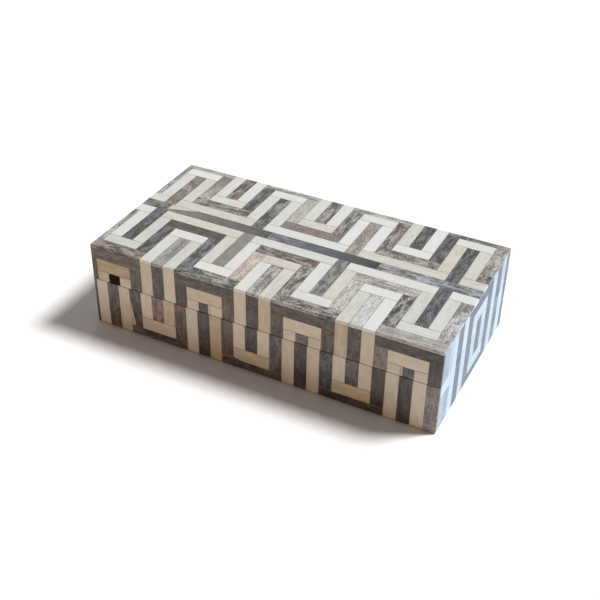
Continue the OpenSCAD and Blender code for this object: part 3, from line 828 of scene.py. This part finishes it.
def store_grain(bm, node):
    """Stores grain coordinates in millimetres, tones, figure and wear on the points of each strip."""
    grain = bm.verts.layers.float_vector.new("grain")
    body_tone = bm.verts.layers.float_color.new("body_tone")
    streak_tone = bm.verts.layers.float_color.new("streak_tone")
    figure = bm.verts.layers.float.new("figure")
    worn = bm.verts.layers.float.new("worn")
    for strip in islands(bm):
        low, high = extent([vert.co for vert in strip])
        middle = (low + high) / 2
        flat = sorted(face_axes(node), key=lambda axis: low[axis] - high[axis])
        order = (*flat, 3 - sum(flat))
        body, streak, strength, far = tones(node, middle)
        dice = random.Random(f"grain {node} {[round(side / MM) for side in middle]}")
        start = Vector([dice.uniform(0, GRAIN_SPREAD) for axis in range(3)])
        for vert in strip:
            vert[grain] = Vector([vert.co[axis] / MM for axis in order]) + start
            along = (vert.co[order[0]] - low[order[0]]) / (high[order[0]] - low[order[0]])
            vert[body_tone] = Vector(body).lerp(Vector(far), min(1, along * FAR_REACH))
            vert[streak_tone] = streak
            vert[figure] = strength
            vert[worn] = 1.0 if all(face.smooth for face in vert.link_faces) else 0.0


for node, bm in blocks.items():
    body = body_of[node]
    wear(bm, body, [["outside", "outside"]], OUTER_WEAR, 3, True)
    wear(bm, body, [["outside", "seam"]], SEAM_WEAR, 2, True)
    wear(bm, body, [["inner", "outside"], ["inner", "seam"]], JOINT_WEAR, 1, False)
    store_grain(bm, node)
    piece = mesh_object(f"{node}_worn", bm, bone_finishes[bone_slot(node)])
    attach(piece, body)
    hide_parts(node)
    bone_slot(node)
print("worn strips:", len(blocks), "pieces")

# %% [markdown]
# ## Wood
#
# The boards are mango wood, stained brown and waxed. Its growth rings show on a flat-sawn
# board as long dark bands with fine pores between them. A band is a noise thirty times as
# long as it is wide, and the same finish is made twice, because the short walls' grain runs
# from front to back.

# %% Wood
LONG_BOARDS = [
    f"{body}_{board}" for body, board in (
        ("base", "bottom_board"), ("base", "front_wall"), ("base", "back_wall"),
        ("lid", "top_board"), ("lid", "front_wall"), ("lid", "back_wall"),
    )
]
SHORT_BOARDS = [f"{body}_{side}_wall" for body in ("base", "lid") for side in ("left", "right")]


def waxed_wood(name, along):
    """Stained mango wood whose grain runs along one axis."""
    wood = new_finish(name)
    place = add(wood, "TexCoord", output="Object")
    band, pore = [6.0 * MM] * 3, [0.5 * MM] * 3
    band[along], pore[along] = 180 * MM, 9 * MM
    bands = add(
        wood, "TexNoise",
        {"Vector": add(wood, "Mapping", {"Vector": place, "Scale": per(*band)}), "Scale": 1.0,
         "Detail": 6.0, "Roughness": 0.65, "Distortion": 0.6},
        output="Fac",
    )
    pores = add(
        wood, "TexNoise",
        {"Vector": add(wood, "Mapping", {"Vector": place, "Scale": per(*pore)}), "Scale": 1.0, "Detail": 3.0},
        output="Fac",
    )
    banded = add(wood, "MapRange", {"Value": bands, "From Min": 0.35, "From Max": 0.65})
    open_pores = add(wood, "MapRange", {"Value": pores, "From Min": 0.56, "From Max": 0.7, "To Max": 0.7})
    stained = add(wood, "Mix", {0: banded, 6: colour("#7A4B2A"), 7: colour("#A06A3E")}, data_type="RGBA")
    shade(wood, {
        "Base Color": add(wood, "Mix", {0: open_pores, 6: stained, 7: colour("#3E2415")}, data_type="RGBA"),
        "Roughness": add(wood, "MapRange", {"Value": bands, "To Min": 0.42, "To Max": 0.6}),
        "Normal": add(
            wood, "Bump", {"Height": pores, "Distance": 0.06 * MM, "Strength": 0.7},
        ),
        "IOR": 1.5,
        "Coat Weight": 0.12,
        "Coat Roughness": 0.35,
    })
    return wood


def dress(nodes, finish):
    """Gives some of the exact nodes a finish."""
    for node in nodes:
        frame["nodes"][node].data.materials.clear()
        frame["nodes"][node].data.materials.append(finish)


dress(LONG_BOARDS, waxed_wood("waxed_mango_wood_lengthways", 0))
dress(SHORT_BOARDS, waxed_wood("waxed_mango_wood_across", 1))
print("boards:", len(LONG_BOARDS) + len(SHORT_BOARDS))

# %% [markdown]
# ## Brass
#
# The hinges are rolled brass, brushed along their length and left to dull. Brass is a metal,
# so its colour is the colour of its reflection, and the scratches are a noise that is very
# long along the hinge. Browner patches are where it has tarnished.

# %% Brass
brass = new_finish("brushed_dull_brass")
place = add(brass, "TexCoord", output="Object")
scratches = add(
    brass, "TexNoise",
    {"Vector": add(brass, "Mapping", {"Vector": place, "Scale": per(8 * MM, 0.12 * MM, 0.12 * MM)}),
     "Scale": 1.0, "Detail": 3.0},
    output="Fac",
)
tarnish = add(brass, "TexNoise", {"Vector": place, "Scale": 1 / (5 * MM), "Detail": 5.0}, output="Fac")
tarnished = add(brass, "MapRange", {"Value": tarnish, "From Min": 0.45, "From Max": 0.7})
shade(brass, {
    "Base Color": add(
        brass, "Mix", {0: tarnished, 6: colour("#CBA860"), 7: colour("#8F6C3A")}, data_type="RGBA",
    ),
    "Metallic": 1.0,
    "Roughness": add(brass, "MapRange", {"Value": scratches, "To Min": 0.24, "To Max": 0.5}),
    "Normal": add(brass, "Bump", {"Height": scratches, "Distance": 0.01 * MM, "Strength": 0.6}),
})
brass_nodes = [node for node in frame["nodes"] if "hinge" in node]
dress(brass_nodes, brass)
print("brass nodes:", brass_nodes)

# %% [markdown]
# ## Velvet card and felt
#
# A card covered with velvet lies on the base's floor, and a sheet of felt is glued under the
# base. Both start as a block in the space that the exact model keeps for them. A bevel
# rounds the card's upper edges and the felt's lower ones. The upper face of the card is cut
# into a grid and sunk a little towards its edges, where the velvet is pulled round the card.

# %% Velvet card
velvet = new_finish("deep_red_velvet")
place = add(velvet, "TexCoord", output="Object")
nap = add(velvet, "TexNoise", {"Vector": place, "Scale": 1 / (14 * MM), "Detail": 4.0}, output="Fac")
pile = add(velvet, "TexNoise", {"Vector": place, "Scale": 1 / (0.25 * MM), "Detail": 2.0}, output="Fac")
brushed = add(velvet, "MapRange", {"Value": nap, "From Min": 0.4, "From Max": 0.62})
shade(velvet, {
    "Base Color": add(
        velvet, "Mix", {0: brushed, 6: colour("#3E0F19"), 7: colour("#64202C")}, data_type="RGBA",
    ),
    "Roughness": add(velvet, "MapRange", {"Value": pile, "To Min": 0.75, "To Max": 0.95}),
    "Normal": add(velvet, "Bump", {"Height": pile, "Distance": 0.12 * MM, "Strength": 0.8}),
    "Sheen Weight": 0.8,
    "Sheen Roughness": 0.35,
    "Sheen Tint": colour("#B86A72"),
    "Specular IOR Level": 0.2,
})
CARD_EDGE = 0.45 * MM
CARD_CROWN = 0.25 * MM
# How far in from the edge the velvet's sinking fades, and the size of the grid
CARD_FADE = 3 * MM
CARD_GRID = 6 * MM

low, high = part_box("floor_lining")
card_bm = bmesh.new()
add_block(card_bm, low, high)
bmesh.ops.bevel(
    card_bm, geom=[edge for edge in card_bm.edges if max(v.co.z for v in edge.verts) > high.z - NEAR],
    offset=CARD_EDGE, segments=3, affect="EDGES", profile=0.5, material=-1,
)
for axis in (0, 1):
    steps = round((high[axis] - low[axis]) / CARD_GRID)
    for step in range(1, steps):
        cut_at = Vector((0, 0, 0))
        cut_at[axis] = low[axis] + (high[axis] - low[axis]) * step / steps
        across = Vector((0, 0, 0))
        across[axis] = 1
        geometry = [*card_bm.verts, *card_bm.edges, *card_bm.faces]
        bmesh.ops.bisect_plane(card_bm, geom=geometry, plane_co=cut_at, plane_no=across)
for vert in card_bm.verts:
    from_edge = min(min(vert.co[axis] - low[axis], high[axis] - vert.co[axis]) for axis in (0, 1))
    if vert.co.z > (low.z + high.z) / 2:
        vert.co.z -= CARD_CROWN * math.exp(-from_edge / CARD_FADE)
for face in card_bm.faces:
    face.smooth = face.normal.z > 0.1
card = mesh_object("velvet_card", card_bm, velvet)
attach(card, "base")
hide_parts("floor_lining")
print("velvet card:", len(card.data.polygons), "faces")

# %% Felt under the base
felt = new_finish("pressed_green_felt")
place = add(felt, "TexCoord", output="Object")
fibres = add(
    felt, "TexNoise",
    {"Vector": place, "Scale": 1 / (0.6 * MM), "Detail": 6.0, "Distortion": 2.0},
    output="Fac",
)
shade(felt, {
    "Base Color": add(felt, "Mix", {0: fibres, 6: colour("#18271F"), 7: colour("#33493C")}, data_type="RGBA"),
    "Roughness": add(felt, "MapRange", {"Value": fibres, "To Min": 0.85, "To Max": 1.0}),
    "Normal": add(felt, "Bump", {"Height": fibres, "Distance": 0.15 * MM}),
    "Sheen Weight": 0.3,
    "Specular IOR Level": 0.2,
})
FELT_EDGE = 0.2 * MM

low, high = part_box("underside_felt")
felt_bm = bmesh.new()
add_block(felt_bm, low, high)
bmesh.ops.bevel(
    felt_bm, geom=[edge for edge in felt_bm.edges if min(v.co.z for v in edge.verts) < low.z + NEAR],
    offset=FELT_EDGE, segments=2, affect="EDGES", profile=0.5, material=-1,
)
felt_sheet = mesh_object("felt_under_base", felt_bm, felt)
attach(felt_sheet, "base")
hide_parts("underside_felt")
print("felt:", [round(side / MM, 1) for side in high - low], "mm")

# %% [markdown]
# ## Check of size
#
# Nothing that was added may stand outside the exact model. How far the finished box reaches
# past the exact one on each axis is printed.

# %% Sizes and the end
finished_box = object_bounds()
below, above = exact_box[0] - finished_box[0], finished_box[1] - exact_box[1]
print("grown by", [round(max(sides) / MM, 3) for sides in zip(below, above)], "mm")
